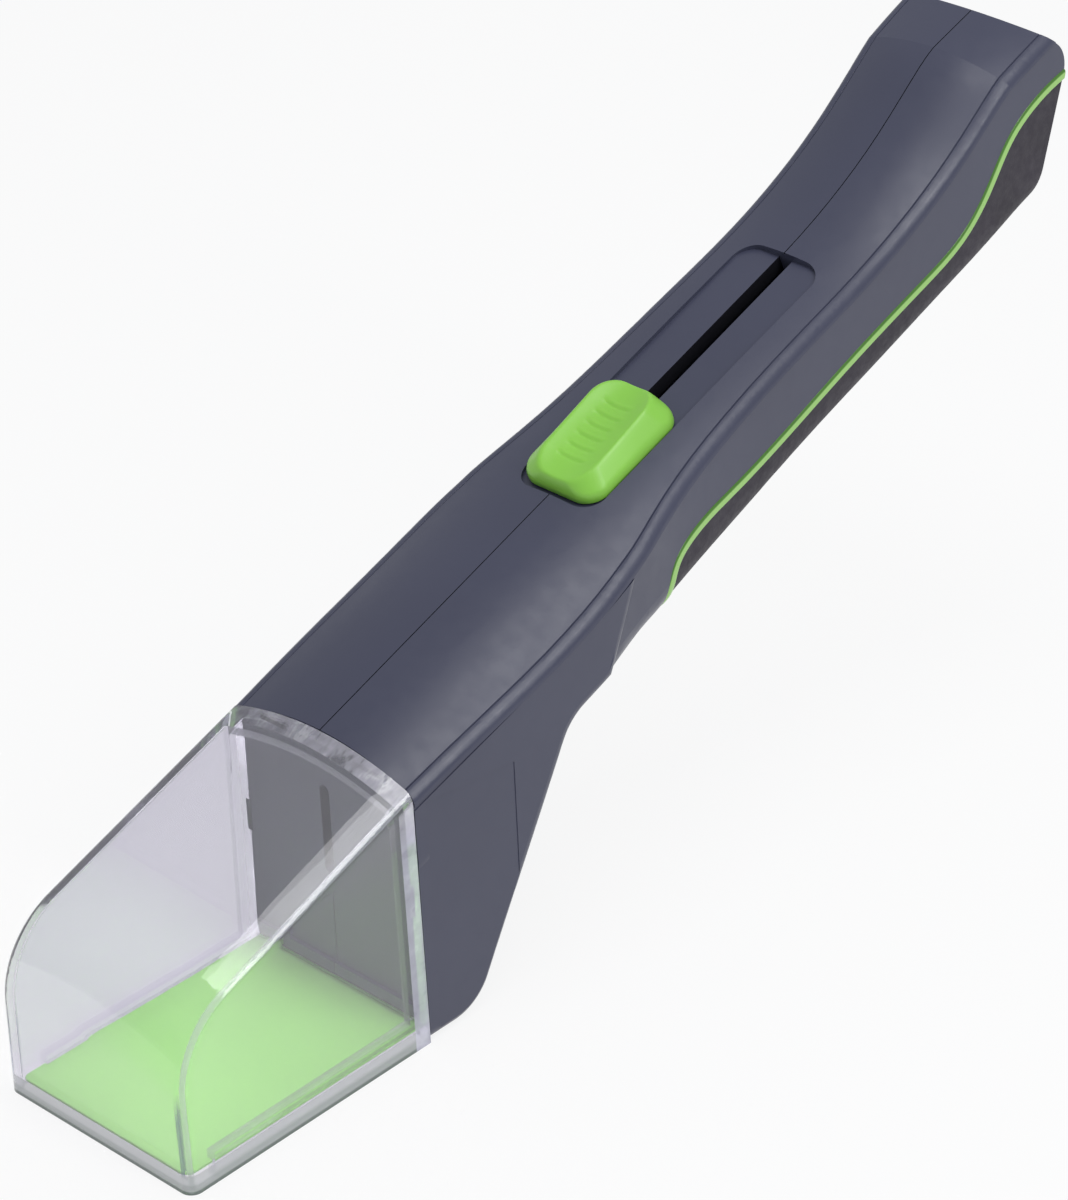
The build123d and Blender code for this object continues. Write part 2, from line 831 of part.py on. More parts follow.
# The shutter's front run closes the mouth
with BuildPart() as shutter_door:
    with BuildSketch(Plane.XY.offset(sheet_level - shutter_thickness / 2)) as outline:
        reach = chamber_length - chamber_wall - fit_gap - joint_gap
        with Locations((0, joint_y - joint_gap - reach / 2)):
            Rectangle(2 * shutter_half, reach)
        fillet(outline.vertices().group_by(Axis.Y)[0], shutter_corner)
    extrude(amount=shutter_thickness)
shutter_door.part.label = "shutter_door"
export_step(shutter_door.part, "parts/shutter_door.step")

# Its rear run bends up inside the head and narrows to a strap below the carriage
half_sheet = shutter_thickness / 2
with BuildPart() as shutter_tail:
    wide = sheet_strip(-half_sheet, half_sheet, -shutter_half, wide_wall_run, 0)
    extrude(wide, amount=2 * shutter_half)
    strap_run = carriage_middle + clamp_length / 2 - strap_start()
    strap = sheet_strip(-half_sheet, half_sheet, -strap_half, 0, strap_run)
    extrude(strap, amount=2 * strap_half)
    screw_plane = plan_plane(clamp_under)
    with BuildSketch(screw_plane):
        with Locations((carriage_middle, 0)):
            with GridLocations(slider_screw_spacing, 0, 2, 1):
                Circle(slider_screw_clearance)
    extrude(amount=clamp_thickness + 2 * shutter_thickness, mode=Mode.SUBTRACT)
shutter_tail.part.label = "shutter_tail"
export_step(shutter_tail.part, "parts/shutter_tail.step")

# The thumb button: a skirt, flanks leaning in to a dished top, ridges across it
with BuildPart() as slider_button:
    with BuildSketch(plan_plane(button_foot)) as foot:
        with Locations((carriage_middle, 0)):
            RectangleRounded(button_length, button_width, button_corner)
    extrude(amount=button_skirt)
    with BuildSketch(plan_plane(button_foot + button_skirt)):
        with Locations((carriage_middle, 0)):
            RectangleRounded(button_length, button_width, button_corner)
    with BuildSketch(plan_plane(button_foot + button_rise)):
        with Locations((carriage_middle, 0)):
            RectangleRounded(button_top_length, button_top_width, button_top_corner)
    loft()
    upwards = Axis((0, 0, 0), (0, -rise_sin, rise_cos))
    fillet(slider_button.faces().sort_by(upwards)[-1].edges(), button_edge)
    top = button_foot + button_rise
    dish_level = top - dish_depth + dish_radius
    with Locations(Location(along(carriage_middle, dish_level), (0, 90, 0))):
        Cylinder(dish_radius, 2 * button_width, mode=Mode.SUBTRACT)
    for index in range(ridge_count):
        shift = (index - (ridge_count - 1) / 2) * ridge_pitch
        level = top - dish_depth + shift**2 / (2 * dish_radius)
        with Locations(Location(along(carriage_middle + shift, level), (0, 90, 0))):
            Cylinder(ridge_radius, ridge_length, mode=Mode.SUBTRACT)
    # the web reaches down through the slot to the carriage
    with BuildSketch(plan_plane(button_foot)):
        with Locations((carriage_middle, 0)):
            Rectangle(web_length, web_width)
    extrude(amount=carriage_top - button_foot)
    with BuildSketch(plan_plane(carriage_top)):
        with Locations((carriage_middle, 0)):
            with GridLocations(slider_screw_spacing, 0, 2, 1):
                Circle(slider_screw_pilot)
    extrude(amount=slider_screw_bite + fit_gap, mode=Mode.SUBTRACT)
slider_button.part.label = "slider_button"
export_step(slider_button.part, "parts/slider_button.step")

with BuildPart() as slider_carriage:
    with BuildSketch(plan_plane(carriage_under)):
        with Locations((carriage_middle, 0)):
            RectangleRounded(button_length, 2 * carriage_half, shutter_corner)
            with GridLocations(slider_screw_spacing, 0, 2, 1):
                Circle(slider_screw_clearance, mode=Mode.SUBTRACT)
    extrude(amount=carriage_thickness)
slider_carriage.part.label = "slider_carriage"
export_step(slider_carriage.part, "parts/slider_carriage.step")

with BuildPart() as shutter_clamp:
    with BuildSketch(plan_plane(clamp_under)):
        with Locations((carriage_middle, 0)):
            RectangleRounded(clamp_length, 2 * clamp_half, shutter_corner)
            with GridLocations(slider_screw_spacing, 0, 2, 1):
                Circle(slider_screw_clearance, mode=Mode.SUBTRACT)
    extrude(amount=clamp_thickness)
shutter_clamp.part.label = "shutter_clamp"
export_step(shutter_clamp.part, "parts/shutter_clamp.step")

with BuildPart() as slider_screws:
    with BuildSketch(plan_plane(clamp_under)):
        with Locations((carriage_middle, 0)):
            with GridLocations(slider_screw_spacing, 0, 2, 1):
                Circle(slider_screw_head)
    extrude(amount=-slider_screw_head_height)
    with BuildSketch(plan_plane(clamp_under)):
        with Locations((carriage_middle, 0)):
            with GridLocations(slider_screw_spacing, 0, 2, 1):
                Circle(slider_screw_shank)
    extrude(amount=carriage_top - clamp_under + slider_screw_bite)
slider_screws.part.label = "slider_screws"
export_step(slider_screws.part, "parts/slider_screws.step")
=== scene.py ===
from math import cos, radians, sin, tan

import bmesh
import bpy
import numpy as np
from mathutils import Euler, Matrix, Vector


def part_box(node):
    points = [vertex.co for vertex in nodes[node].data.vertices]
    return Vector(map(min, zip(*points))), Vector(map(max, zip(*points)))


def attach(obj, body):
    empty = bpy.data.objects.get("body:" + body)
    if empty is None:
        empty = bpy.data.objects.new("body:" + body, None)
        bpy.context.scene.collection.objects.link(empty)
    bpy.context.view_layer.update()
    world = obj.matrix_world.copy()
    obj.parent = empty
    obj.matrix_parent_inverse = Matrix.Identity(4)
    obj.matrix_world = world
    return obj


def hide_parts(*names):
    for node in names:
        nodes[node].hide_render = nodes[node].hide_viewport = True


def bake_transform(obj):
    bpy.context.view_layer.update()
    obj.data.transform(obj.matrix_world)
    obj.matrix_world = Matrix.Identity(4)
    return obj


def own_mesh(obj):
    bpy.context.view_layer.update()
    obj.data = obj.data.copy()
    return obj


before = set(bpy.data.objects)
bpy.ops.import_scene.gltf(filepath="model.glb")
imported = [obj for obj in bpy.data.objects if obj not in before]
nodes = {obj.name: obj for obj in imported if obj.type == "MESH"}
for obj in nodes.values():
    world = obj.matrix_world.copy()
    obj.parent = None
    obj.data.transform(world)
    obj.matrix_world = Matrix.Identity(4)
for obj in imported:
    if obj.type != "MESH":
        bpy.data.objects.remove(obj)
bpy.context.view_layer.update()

# Sizes in metres, the same ones that the solids are made from, but for the two of the
# flank, which lie between the inner and the outer face of the chamber's sides
MM = 0.001
RISE = radians(19.5)
JOINT_Y = 35.5 * MM
SEAM_HEIGHT = 68.5 * MM
CHAMBER_HALF = 28.9 * MM
CHAMBER_CROWN = 5.0 * MM
FLANK_INSIDE = 27.4 * MM
FLANK_OUTSIDE = 27.8 * MM
STRAP_LEVEL = -9.45 * MM
STRAP_START = 66.0 * MM
CLAMP_START = 82.0 * MM
BUTTON_MIDDLE = 95.0 * MM

# Mesh work: points of a solid or of a new piece closer than this are one, and an edge
# that turns by more than the angle in degrees stays sharp
SOLID_WELD = 2e-6
WELD = 1e-6
SHARP_ANGLE = 40.0
SHEET_SHARP_ANGLE = 30.0

# Camera: the photograph's place, turn and focal length
CAMERA_PLACE = (0.5968, -0.5048, 0.5869)
CAMERA_TURN = (58.696, 1.981, 43.324)
CAMERA_LENS = 135.0
CAMERA_SENSOR = 36.0
CAMERA_REACH = 50.0
LAMP_AIM = (0.0, 0.10, 0.08)

# Most values of a noise texture lie between these
NOISE_LOW = 0.3
NOISE_HIGH = 0.7


# Materials
class Material:
    """A node material with one Principled shader and a few short helpers."""

    def __init__(self, name):
        self.made = bpy.data.materials.new(name)
        self.made.use_nodes = True
        self.tree = self.made.node_tree
        self.tree.nodes.clear()
        self.out = self.add("ShaderNodeOutputMaterial")
        self.shader = self.add("ShaderNodeBsdfPrincipled")
        self.link(self.shader.outputs[0], self.out.inputs["Surface"])
        where = self.add("ShaderNodeTexCoord")
        self.place = where.outputs["Object"]
        self.facing = where.outputs["Normal"]

    def add(self, kind, **values):
        node = self.tree.nodes.new(kind)
        for key, value in values.items():
            setattr(node, key, value)
        return node

    def link(self, source, target):
        self.tree.links.new(source, target)

    def set(self, **values):
        """Sets the shader's sockets, named with underscores for spaces."""
        for key, value in values.items():
            self.shader.inputs[key.replace("_", " ")].default_value = value

    def feed(self, name, source):
        """Links a source to one of the shader's sockets."""
        self.link(source, self.shader.inputs[name])

    def noise(self, scale, detail=2.0, roughness=0.5, stretch=None):
        node = self.add("ShaderNodeTexNoise")
        node.inputs["Scale"].default_value = scale
        node.inputs["Detail"].default_value = detail
        node.inputs["Roughness"].default_value = roughness
        place = self.place
        if stretch:
            mapping = self.add("ShaderNodeMapping")
            mapping.inputs["Scale"].default_value = stretch
            self.link(place, mapping.inputs["Vector"])
            place = mapping.outputs[0]
        self.link(place, node.inputs["Vector"])
        return node.outputs["Fac"]

    def spread(self, source, low, high, start=NOISE_LOW, end=NOISE_HIGH):
        """The source's start and end become low and high, which hold beyond them."""
        node = self.add("ShaderNodeMapRange")
        node.inputs["From Min"].default_value = start
        node.inputs["From Max"].default_value = end
        node.inputs["To Min"].default_value = low
        node.inputs["To Max"].default_value = high
        self.link(source, node.inputs["Value"])
        return node.outputs[0]

    def rise(self, source, start, end):
        """0 up to the start and 1 from the end."""
        return self.spread(source, 0, 1, start, end)

    def fall(self, source, start, end):
        """1 up to the start and 0 from the end."""
        return self.spread(source, 1, 0, start, end)

    def band(self, source, start, full, fading, end):
        """1 from full to fading, and 0 up to the start and from the end."""
        return self.product(
            self.rise(source, start, full), self.fall(source, fading, end)
        )

    def math(self, operation, *values):
        node = self.add("ShaderNodeMath", operation=operation)
        for socket, value in zip(node.inputs, values):
            if isinstance(value, bpy.types.NodeSocket):
                self.link(value, socket)
            else:
                socket.default_value = value
        return node.outputs[0]

    def fold(self, operation, first, *others):
        """The same maths node for one value after the other."""
        for other in others:
            first = self.math(operation, first, other)
        return first

    def product(self, *values):
        return self.fold("MULTIPLY", *values)

    def total(self, *values):
        return self.fold("ADD", *values)

    def largest(self, *values):
        return self.fold("MAXIMUM", *values)

    def mix(self, share, low, high):
        node = self.add("ShaderNodeMix", data_type="RGBA")
        self.link(share, node.inputs[0])
        for socket, value in ((node.inputs[6], low), (node.inputs[7], high)):
            if isinstance(value, bpy.types.NodeSocket):
                self.link(value, socket)
            else:
                socket.default_value = (*value, 1.0)
        return node.outputs[2]

    def ramp(self, source, *stops):
        node = self.add("ShaderNodeValToRGB")
        elements = node.color_ramp.elements
        while len(elements) < len(stops):
            elements.new(0.5)
        for element, (at, colour) in zip(elements, stops):
            element.position = at
            element.color = (*colour, 1.0)
        self.link(source, node.inputs["Fac"])
        return node.outputs[0]

    def drift(self, colour, source, low, high, start=NOISE_LOW, end=NOISE_HIGH):
        """The colour, which drifts with the source between two shares of itself."""
        return self.ramp(
            source,
            (start, tuple(channel * low for channel in colour)),
            (end, tuple(channel * high for channel in colour)),
        )

    def split(self, source):
        node = self.add("ShaderNodeSeparateXYZ")
        self.link(source, node.inputs[0])
        return node.outputs

    def bump(self, source, height):
        node = self.add("ShaderNodeBump")
        node.inputs["Distance"].default_value = height
        self.link(source, node.inputs["Height"])
        self.feed("Normal", node.outputs[0])

    def give_way(self, share, other):
        """Shows another shader in place of the Principled one, by the share."""
        mixed = self.add("ShaderNodeMixShader")
        self.link(share, mixed.inputs["Fac"])
        self.link(self.shader.outputs[0], mixed.inputs[1])
        self.link(other.outputs[0], mixed.inputs[2])
        self.link(mixed.outputs[0], self.out.inputs["Surface"])


def moulded(name, colour, roughness, grain, vary=0.06, shaded=None):
    """Moulded plastic: faint colour drift, a fine spark-eroded grain, soft gloss. The
    shaded function gives a mask and the darker colour of painted shade where it is 1."""
    drift_scale, gloss_scale, grain_scale = 18.0, 240.0, 2600.0
    smoother, rougher = 0.04, 0.05
    made = Material(name)
    drifting = made.noise(drift_scale, detail=3.0)
    base = made.drift(colour, drifting, 1 - vary, 1 + vary, start=0.25, end=0.75)
    if shaded:
        mask, dark = shaded(made)
        base = made.mix(mask, base, dark)
    made.feed("Base Color", base)
    gloss = made.noise(gloss_scale)
    made.feed(
        "Roughness", made.spread(gloss, roughness - smoother, roughness + rougher)
    )
    made.bump(made.noise(grain_scale, roughness=0.6), grain)
    return made.made


def slot_walls(made):
    """The upright walls of the button's slot, which are always in shade."""
    slot_half, blur = 2.2 * MM, 0.1 * MM
    side = made.math("ABSOLUTE", made.split(made.place)["X"])
    upright = made.math("ABSOLUTE", made.split(made.facing)["X"])
    walls = made.product(
        made.fall(side, slot_half, slot_half + blur), made.rise(upright, 0.8, 0.9)
    )
    return walls, (0.012, 0.012, 0.016)


def upper_shoulder_painted_shade(made):
    """Painted shade: a darker green on the part of a strip that faces up from the
    handle.
    """
    facing = made.split(made.facing)
    upwards = made.total(
        made.product(facing["Y"], -sin(RISE)), made.product(facing["Z"], cos(RISE))
    )
    return made.rise(upwards, 0.14, 0.26), (0.070, 0.20, 0.025)


def frame_at_joint(made, place):
    """The outer faces of the chamber's deeper frame, but for the far flank's."""
    frame_depth, roof_skin, roof_share = 4.7 * MM, 1.1 * MM, 0.75
    blur, skin_blur, far_blur = 0.2 * MM, 0.4 * MM, 0.6 * MM
    side = made.math("ABSOLUTE", place["X"])
    crown = made.product(side, side, CHAMBER_CROWN / CHAMBER_HALF**2)
    slope = made.product(place["Y"], -tan(RISE))
    over = made.total(place["Z"], crown, slope)
    roof = SEAM_HEIGHT - tan(RISE) * JOINT_Y - roof_skin
    outside = made.largest(
        made.rise(side, FLANK_INSIDE, FLANK_OUTSIDE),
        made.spread(over, 0, roof_share, roof, roof + skin_blur),
    )
    start = JOINT_Y - frame_depth
    return made.product(
        made.rise(place["Y"], start, start + blur),
        made.rise(place["X"], -FLANK_INSIDE, far_blur - FLANK_INSIDE),
        outside,
    )


def clear_material():
    """Clear plastic that lets lamp light through to the shutter. The frame at the joint
    looks milky. Its rounded edges, its corners at the nose and its foot are less clear
    too, with painted light and shade on the edges and painted shade on the corners and
    the foot."""
    rear_edge_share, front_edge_share = 0.42, 0.30
    far_frame_share, near_frame_share = 0.12, 0.65
    corner_share, foot_share, least_share = 0.45, 0.56, 0.06
    made = Material("clear_plastic")
    made.set(
        IOR=1.15,
        Specular_IOR_Level=0.5,
        Coat_Weight=1.0,
        Coat_Roughness=0.02,
        Coat_IOR=1.5,
    )
    body = made.add("ShaderNodeVolumeAbsorption")
    body.inputs["Color"].default_value = (0.30, 0.24, 0.46, 1.0)
    body.inputs["Density"].default_value = 42.0
    made.link(body.outputs[0], made.out.inputs["Volume"])

    # Where each mask is 1, by the place and by how far a face turns to the side, which
    # is least at the nose, more at its corners and most at the roof's rounded edges
    place = made.split(made.place)
    across = made.math("ABSOLUTE", made.split(made.facing)["X"])
    near_flank = made.rise(place["X"], FLANK_INSIDE, FLANK_OUTSIDE)
    front = made.fall(place["Y"], -14 * MM, -4 * MM)
    nose = made.fall(place["Y"], 1.1 * MM - JOINT_Y, 1.3 * MM - JOINT_Y)
    frame_mask = frame_at_joint(made, place)
    # Painted light and shade on the roof's rounded edges
    painted_edge_light_mask = made.band(across, 0.50, 0.58, 0.84, 0.90)
    # Painted shade on the corners at the nose
    painted_corner_shade_mask = made.product(
        made.band(across, 0.12, 0.18, 0.42, 0.48),
        made.band(place["Z"], 4.0 * MM, 5.0 * MM, 19 * MM, 25 * MM),
        made.fall(place["Y"], -31 * MM, -29 * MM),
    )
    # Painted shade along the foot on the near flank and the nose, strongest low down
    foot_band = made.product(
        made.spread(place["Z"], 1.0, 0.70, 2.4 * MM, 2.8 * MM),
        made.fall(place["Z"], 4.9 * MM, 5.2 * MM),
    )
    painted_foot_shade_mask = made.product(made.largest(near_flank, nose), foot_band)
    foot_bottom_shade = made.fall(place["Z"], 0.7 * MM, 1.0 * MM)

    # How much each place gives up its clearness: milky at the frame and in a faint
    # haze, painted light and shade at the edges, the corners and the foot
    edge_share = made.spread(front, rear_edge_share, front_edge_share, 0, 1)
    frame_share = made.spread(
        place["X"], far_frame_share, near_frame_share, -27 * MM, 20 * MM
    )
    milky = made.largest(
        made.product(painted_edge_light_mask, edge_share),
        made.product(frame_mask, frame_share),
        made.product(painted_corner_shade_mask, corner_share),
        made.product(painted_foot_shade_mask, foot_share),
        least_share,
    )
    made.feed("Transmission Weight", made.math("SUBTRACT", 1.0, milky))

    # The colours of these places: marbled at the frame, painted light and shade at the
    # edges, the corners and the foot
    marbled = made.ramp(
        made.noise(210.0, detail=3.0, roughness=0.6, stretch=(1.0, 0.45, 0.6)),
        (0.36, (0.10, 0.10, 0.13)),
        (0.42, (0.44, 0.43, 0.50)),
        (0.55, (0.66, 0.64, 0.74)),
        (0.61, (0.95, 0.95, 1.00)),
        (0.66, (0.50, 0.50, 0.58)),
    )
    marbled = made.mix(made.product(near_flank, 0.75), marbled, (0.62, 0.62, 0.73))
    # Painted edge light and shade: paler towards the nose, greyer towards the rear
    painted_edge_light_colour = made.mix(front, (0.56, 0.58, 0.62), (0.80, 0.83, 0.83))
    # Painted shade at the foot: grey-green, darkest along its bottom
    painted_foot_shade_colour = made.mix(foot_bottom_shade, (0.37, 0.40, 0.39), (0.18, 0.22, 0.20))
    pale = made.mix(painted_edge_light_mask, (0.935, 0.925, 0.965), painted_edge_light_colour)
    # Painted shade: blue-grey at the nose's corners
    pale = made.mix(painted_corner_shade_mask, pale, (0.40, 0.45, 0.53))
    pale = made.mix(painted_foot_shade_mask, pale, painted_foot_shade_colour)
    made.feed("Base Color", made.mix(frame_mask, pale, marbled))
    made.feed("Roughness", made.spread(made.noise(60.0), 0.012, 0.03))

    through = made.add("ShaderNodeBsdfTransparent")
    through.inputs["Color"].default_value = (1.0, 1.0, 1.0, 1.0)
    path = made.add("ShaderNodeLightPath")
    made.give_way(path.outputs["Is Shadow Ray"], through)
    return made.made


def button_material():
    """Satin plastic that lets a little light in."""
    made = Material("button_plastic")
    colour = (0.27, 0.625, 0.077)
    made.feed("Base Color", made.drift(colour, made.noise(40.0), 0.96, 1.04))
    made.feed("Roughness", made.spread(made.noise(300.0), 0.30, 0.38))
    made.bump(made.noise(2200.0), 0.000012)
    made.set(Subsurface_Weight=0.12, Subsurface_Radius=(0.002, 0.003, 0.001))
    return made.made


def grip_material():
    """Soft rubber: matt, with a fine pebble grain."""
    made = Material("grip_rubber")
    colour = (0.035, 0.030, 0.041)
    drifting = made.noise(60.0, detail=3.0)
    made.feed("Base Color", made.drift(colour, drifting, 0.85, 1.2))
    made.feed("Roughness", made.spread(made.noise(500.0), 0.55, 0.72))
    made.bump(made.noise(1500.0, detail=3.0, roughness=0.6), 0.00006)
    return made.made


def screw_material():
    """Zinc-plated steel."""
    made = Material("zinc_screw")
    made.set(Base_Color=(0.62, 0.62, 0.60, 1.0), Metallic=1.0)
    made.feed("Roughness", made.spread(made.noise(900.0), 0.25, 0.42))
    return made.made


SHELL = moulded(
    "slate_plastic", (0.056, 0.060, 0.098), 0.32, 0.000004, shaded=slot_walls
)
CLEAR = clear_material()
SHUTTER = moulded("shutter_plastic", (0.45, 0.95, 0.235), 0.34, 0.000004, 0.03)
BUTTON = button_material()
GRIP = grip_material()
# The green strips get painted shade on their upper shoulders
TRIM = moulded(
    "trim_plastic", (0.34, 0.62, 0.17), 0.30, 0.000004, 0.04, shaded=upper_shoulder_painted_shade
)
BLACK = moulded("black_plastic", (0.018, 0.018, 0.021), 0.45, 0.00002)
SCREW = screw_material()

for name, material in {
    "left_shell": SHELL,
    "right_shell": SHELL,
    "chamber": CLEAR,
    "left_grip": GRIP,
    "right_grip": GRIP,
    "slider_carriage": BLACK,
    "shutter_clamp": BLACK,
    "slider_screws": SCREW,
    "shell_screws": SCREW,
}.items():
    nodes[name].data.materials.clear()
    nodes[name].data.materials.append(material)


# Mesh helpers
def along(reach, level, side=0.0):
    """A point by its place along the body, its height over the seam and its side."""
    return Vector(
        (
            side,
            JOINT_Y + reach * cos(RISE) - level * sin(RISE),
            SEAM_HEIGHT + reach * sin(RISE) + level * cos(RISE),
        )
    )


def place_object(name, data):
    """A new object in the scene for a mesh, a lamp or the camera."""
    made = bpy.data.objects.new(name, data)
    bpy.context.scene.collection.objects.link(made)
    return made


def rows_joined(first, second, closed=False):
    """Faces between two rows of point numbers, or between two closed rings."""
    faces = []
    for here in range(len(first) if closed else len(first) - 1):
        after = (here + 1) % len(first)
        faces.append((first[here], first[after], second[after], second[here]))
    return faces


def mesh_object(name, points, faces, material):
    """A mesh piece from points and faces, welded and with its faces turned outwards."""
    mesh = bpy.data.meshes.new(name)
    mesh.from_pydata([tuple(point) for point in points], [], faces)
    made = place_object(name, mesh)
    work = bmesh.new()
    work.from_mesh(mesh)
    bmesh.ops.remove_doubles(work, verts=work.verts, dist=WELD)
    bmesh.ops.recalc_face_normals(work, faces=work.faces)
    mesh.materials.append(material)
    finish_mesh(made, work, SHARP_ANGLE)
    return made


def finish_mesh(made, work, sharp):
    """Writes the worked mesh, smooth but for the edges above an angle."""
    for face in work.faces:
        face.smooth = True
    for edge in work.edges:
        inside = len(edge.link_faces) == 2
        edge.smooth = inside and edge.calc_face_angle() < radians(sharp)
    work.to_mesh(made.data)
    work.free()


def welded(node):
    """A CAD node's mesh with its points joined, to be worked on or read."""
    work = bmesh.new()
    work.from_mesh(nodes[node].data)
    bmesh.ops.remove_doubles(work, verts=work.verts, dist=SOLID_WELD)
    return work


# Thumb button, in millimetres. The two outlines are rounded rectangles, each given by
# its half length, half width and corner radius. Levels are heights over the seam. The
# flanks climb from FLANK_LEVEL at the foot's outline to CREST_LEVEL at the crest's, and
# the search for a flank's height goes up to FLANK_SEARCH times that climb.
BUTTON_FOOT = (15.8, 11.5, 5.6)
BUTTON_CREST = (14.1, 7.6, 6.4)
BUTTON_SHIFT = -0.6
FLANK_LEVEL = 0.6
CREST_LEVEL = 5.3
CREST_CLIMB = 0.075
FLANK_SEARCH = 2.3
SEARCH_STEPS = 24
CREST_SOFTNESS = 0.38
FOOT_ROUNDING = 0.8
BUTTON_ROWS = 100
BUTTON_COLUMNS = 48


def button_outline(reach_share, side_share):
    """The place on the foot's outline for a point on the edge of the unit square."""
    half_long, half_wide, corner = BUTTON_FOOT
    place = np.array((reach_share * half_long, side_share * half_wide))
    inner = np.array((half_long - corner, half_wide - corner))
    middle = np.clip(place, -inner, inner)
    away = place - middle
    return middle + corner * away / np.hypot(*away)


def beyond_outline(reach, side, share):
    """How far places lie outside the outline at a share of the flanks' climb."""
    long, wide, corner = (
        foot + (crest - foot) * share for foot, crest in zip(BUTTON_FOOT, BUTTON_CREST)
    )
    over_long = np.abs(reach) - long + corner
    over_wide = np.abs(side) - wide + corner
    outside = np.hypot(np.maximum(over_long, 0), np.maximum(over_wide, 0))
    return outside + np.minimum(np.maximum(over_long, over_wide), 0) - corner


def button_dish(reach, side, crest):
    """The top between the two crests: a dish that is hollow both ways and deepens
    backwards, with short shallow grooves, each with a low ridge behind it."""
    crest_long, crest_wide, _ = BUTTON_CREST
    rim, rim_height, long_depth = 0.6, 0.1, 0.4
    wide_depth, deepening = 1.5, 0.045
    grooves, first_groove, pitch, bow = 6, -2.7, 3.3, 0.014
    groove_depth, groove_width = 0.18, 0.5
    ridge_height, ridge_width, ridge_shift = 0.13, 0.55, 0.95
    groove_half, groove_fade = 4.4, 1.8

    along_dish = np.clip(1 - (reach / crest_long) ** 2, 0, 1)
    across_dish = np.clip(1 - (side / (crest_wide + rim)) ** 2, 0, 1)
    across_depth = wide_depth + deepening * np.clip(reach, 0, None)
    top = crest + rim_height - long_depth * along_dish - across_depth * across_dish
    fade = np.clip((groove_half - np.abs(side)) / groove_fade, 0, 1)
    for index in range(grooves):
        place = (index + first_groove) * pitch + bow * side**2
        groove = np.exp(-(((reach - place) / groove_width) ** 2))
        ridge = np.exp(-(((reach - place - ridge_shift) / ridge_width) ** 2))
        top -= groove_depth * fade * groove
        top += ridge_height * fade * ridge
    return top


def button_heights(reach, side):
    """The button's height at each place: leaning flanks that run softly into the crests
    and the dish, with a rounded edge at the foot."""
    low, high = np.zeros_like(reach), np.full_like(reach, FLANK_SEARCH)
    for _ in range(SEARCH_STEPS):
        middle = (low + high) / 2
        inside = beyond_outline(reach, side, middle) < 0
        low = np.where(inside, middle, low)
        high = np.where(inside, high, middle)
    crest = CREST_LEVEL + CREST_CLIMB * reach
    flank = FLANK_LEVEL + (crest - FLANK_LEVEL) * low
    top = button_dish(reach, side, crest)
    soft = CREST_SOFTNESS
    height = -soft * np.log(np.exp(-flank / soft) + np.exp(-top / soft))
    edge = np.clip(-beyond_outline(reach, side, 0.0), 0, FOOT_ROUNDING)
    curb = np.sqrt(FOOT_ROUNDING**2 - (FOOT_ROUNDING - edge) ** 2)
    return height - (FOOT_ROUNDING - curb)


def button_point(reach, level, side):
    """A point by its millimetres from the button's middle on the seam."""
    return along(BUTTON_MIDDLE + reach * MM, level * MM, side * MM)


def button_sides(points, rim, reach, side):
    """The closed wall and floor under the rim of the button's top."""
    edge_level, floor_level = -0.6, -1.6
    bevel_height, bevel_inset = 0.2, 0.15
    faces = []
    above = rim
    for level, inset in (
        (edge_level, 0.0),
        (floor_level + bevel_height, 0.0),
        (floor_level, bevel_inset),
    ):
        pull = 1 - inset / BUTTON_FOOT[1]
        ring = range(len(points), len(points) + len(rim))
        for index in rim:
            points.append(
                button_point(
                    reach[index] * pull + BUTTON_SHIFT, level, side[index] * pull
                )
            )
        faces += rows_joined(above, ring, closed=True)
        above = ring
    return faces + [tuple(above)]


def button_web(points):
    """The web that goes down through the slot: a bar with a bevelled lower end."""
    rings = []
    for level, half_long, half_thick in (
        (-1.5, 11.0, 1.7),
        (-5.9, 11.0, 1.7),
        (-6.1, 10.8, 1.5),
    ):
        rings.append(range(len(points), len(points) + 4))
        for end, side in ((-1, -1), (1, -1), (1, 1), (-1, 1)):
            points.append(button_point(end * half_long, level, side * half_thick))
    faces = [tuple(rings[0]), tuple(rings[-1])]
    for upper, lower in zip(rings, rings[1:]):
        faces += rows_joined(upper, lower, closed=True)
    return faces


def make_button():
    """The thumb button: a satin pillow with two soft crests that climb backwards, a
    dish with grooves between them, and the web under it."""
    rows, columns = BUTTON_ROWS, BUTTON_COLUMNS
    places = []
    for i in range(-rows, rows + 1):
        for j in range(-columns, columns + 1):
            a, b = i / rows, j / columns
            ring = max(abs(a), abs(b))
            places.append(
                button_outline(a / ring, b / ring) * ring if ring else (0.0, 0.0)
            )
    reach, side = np.array(places).T
    height = button_heights(reach, side)
    points = [
        button_point(r + BUTTON_SHIFT, h, s) for r, s, h in zip(reach, side, height)
    ]

    width, last = 2 * columns + 1, 2 * rows
    lines = [range(i * width, (i + 1) * width) for i in range(last + 1)]
    faces = []
    for line, after in zip(lines, lines[1:]):
        faces += rows_joined(line, after)
    rim = (
        list(lines[0])
        + [line[-1] for line in lines[1:]]
        + list(lines[-1])[-2::-1]
        + [line[0] for line in lines[-2:0:-1]]
    )
    faces += button_sides(points, rim, reach, side)
    faces += button_web(points)
    button = mesh_object("thumb_button", points, faces, BUTTON)
    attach(button, "slider")
    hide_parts("slider_button")


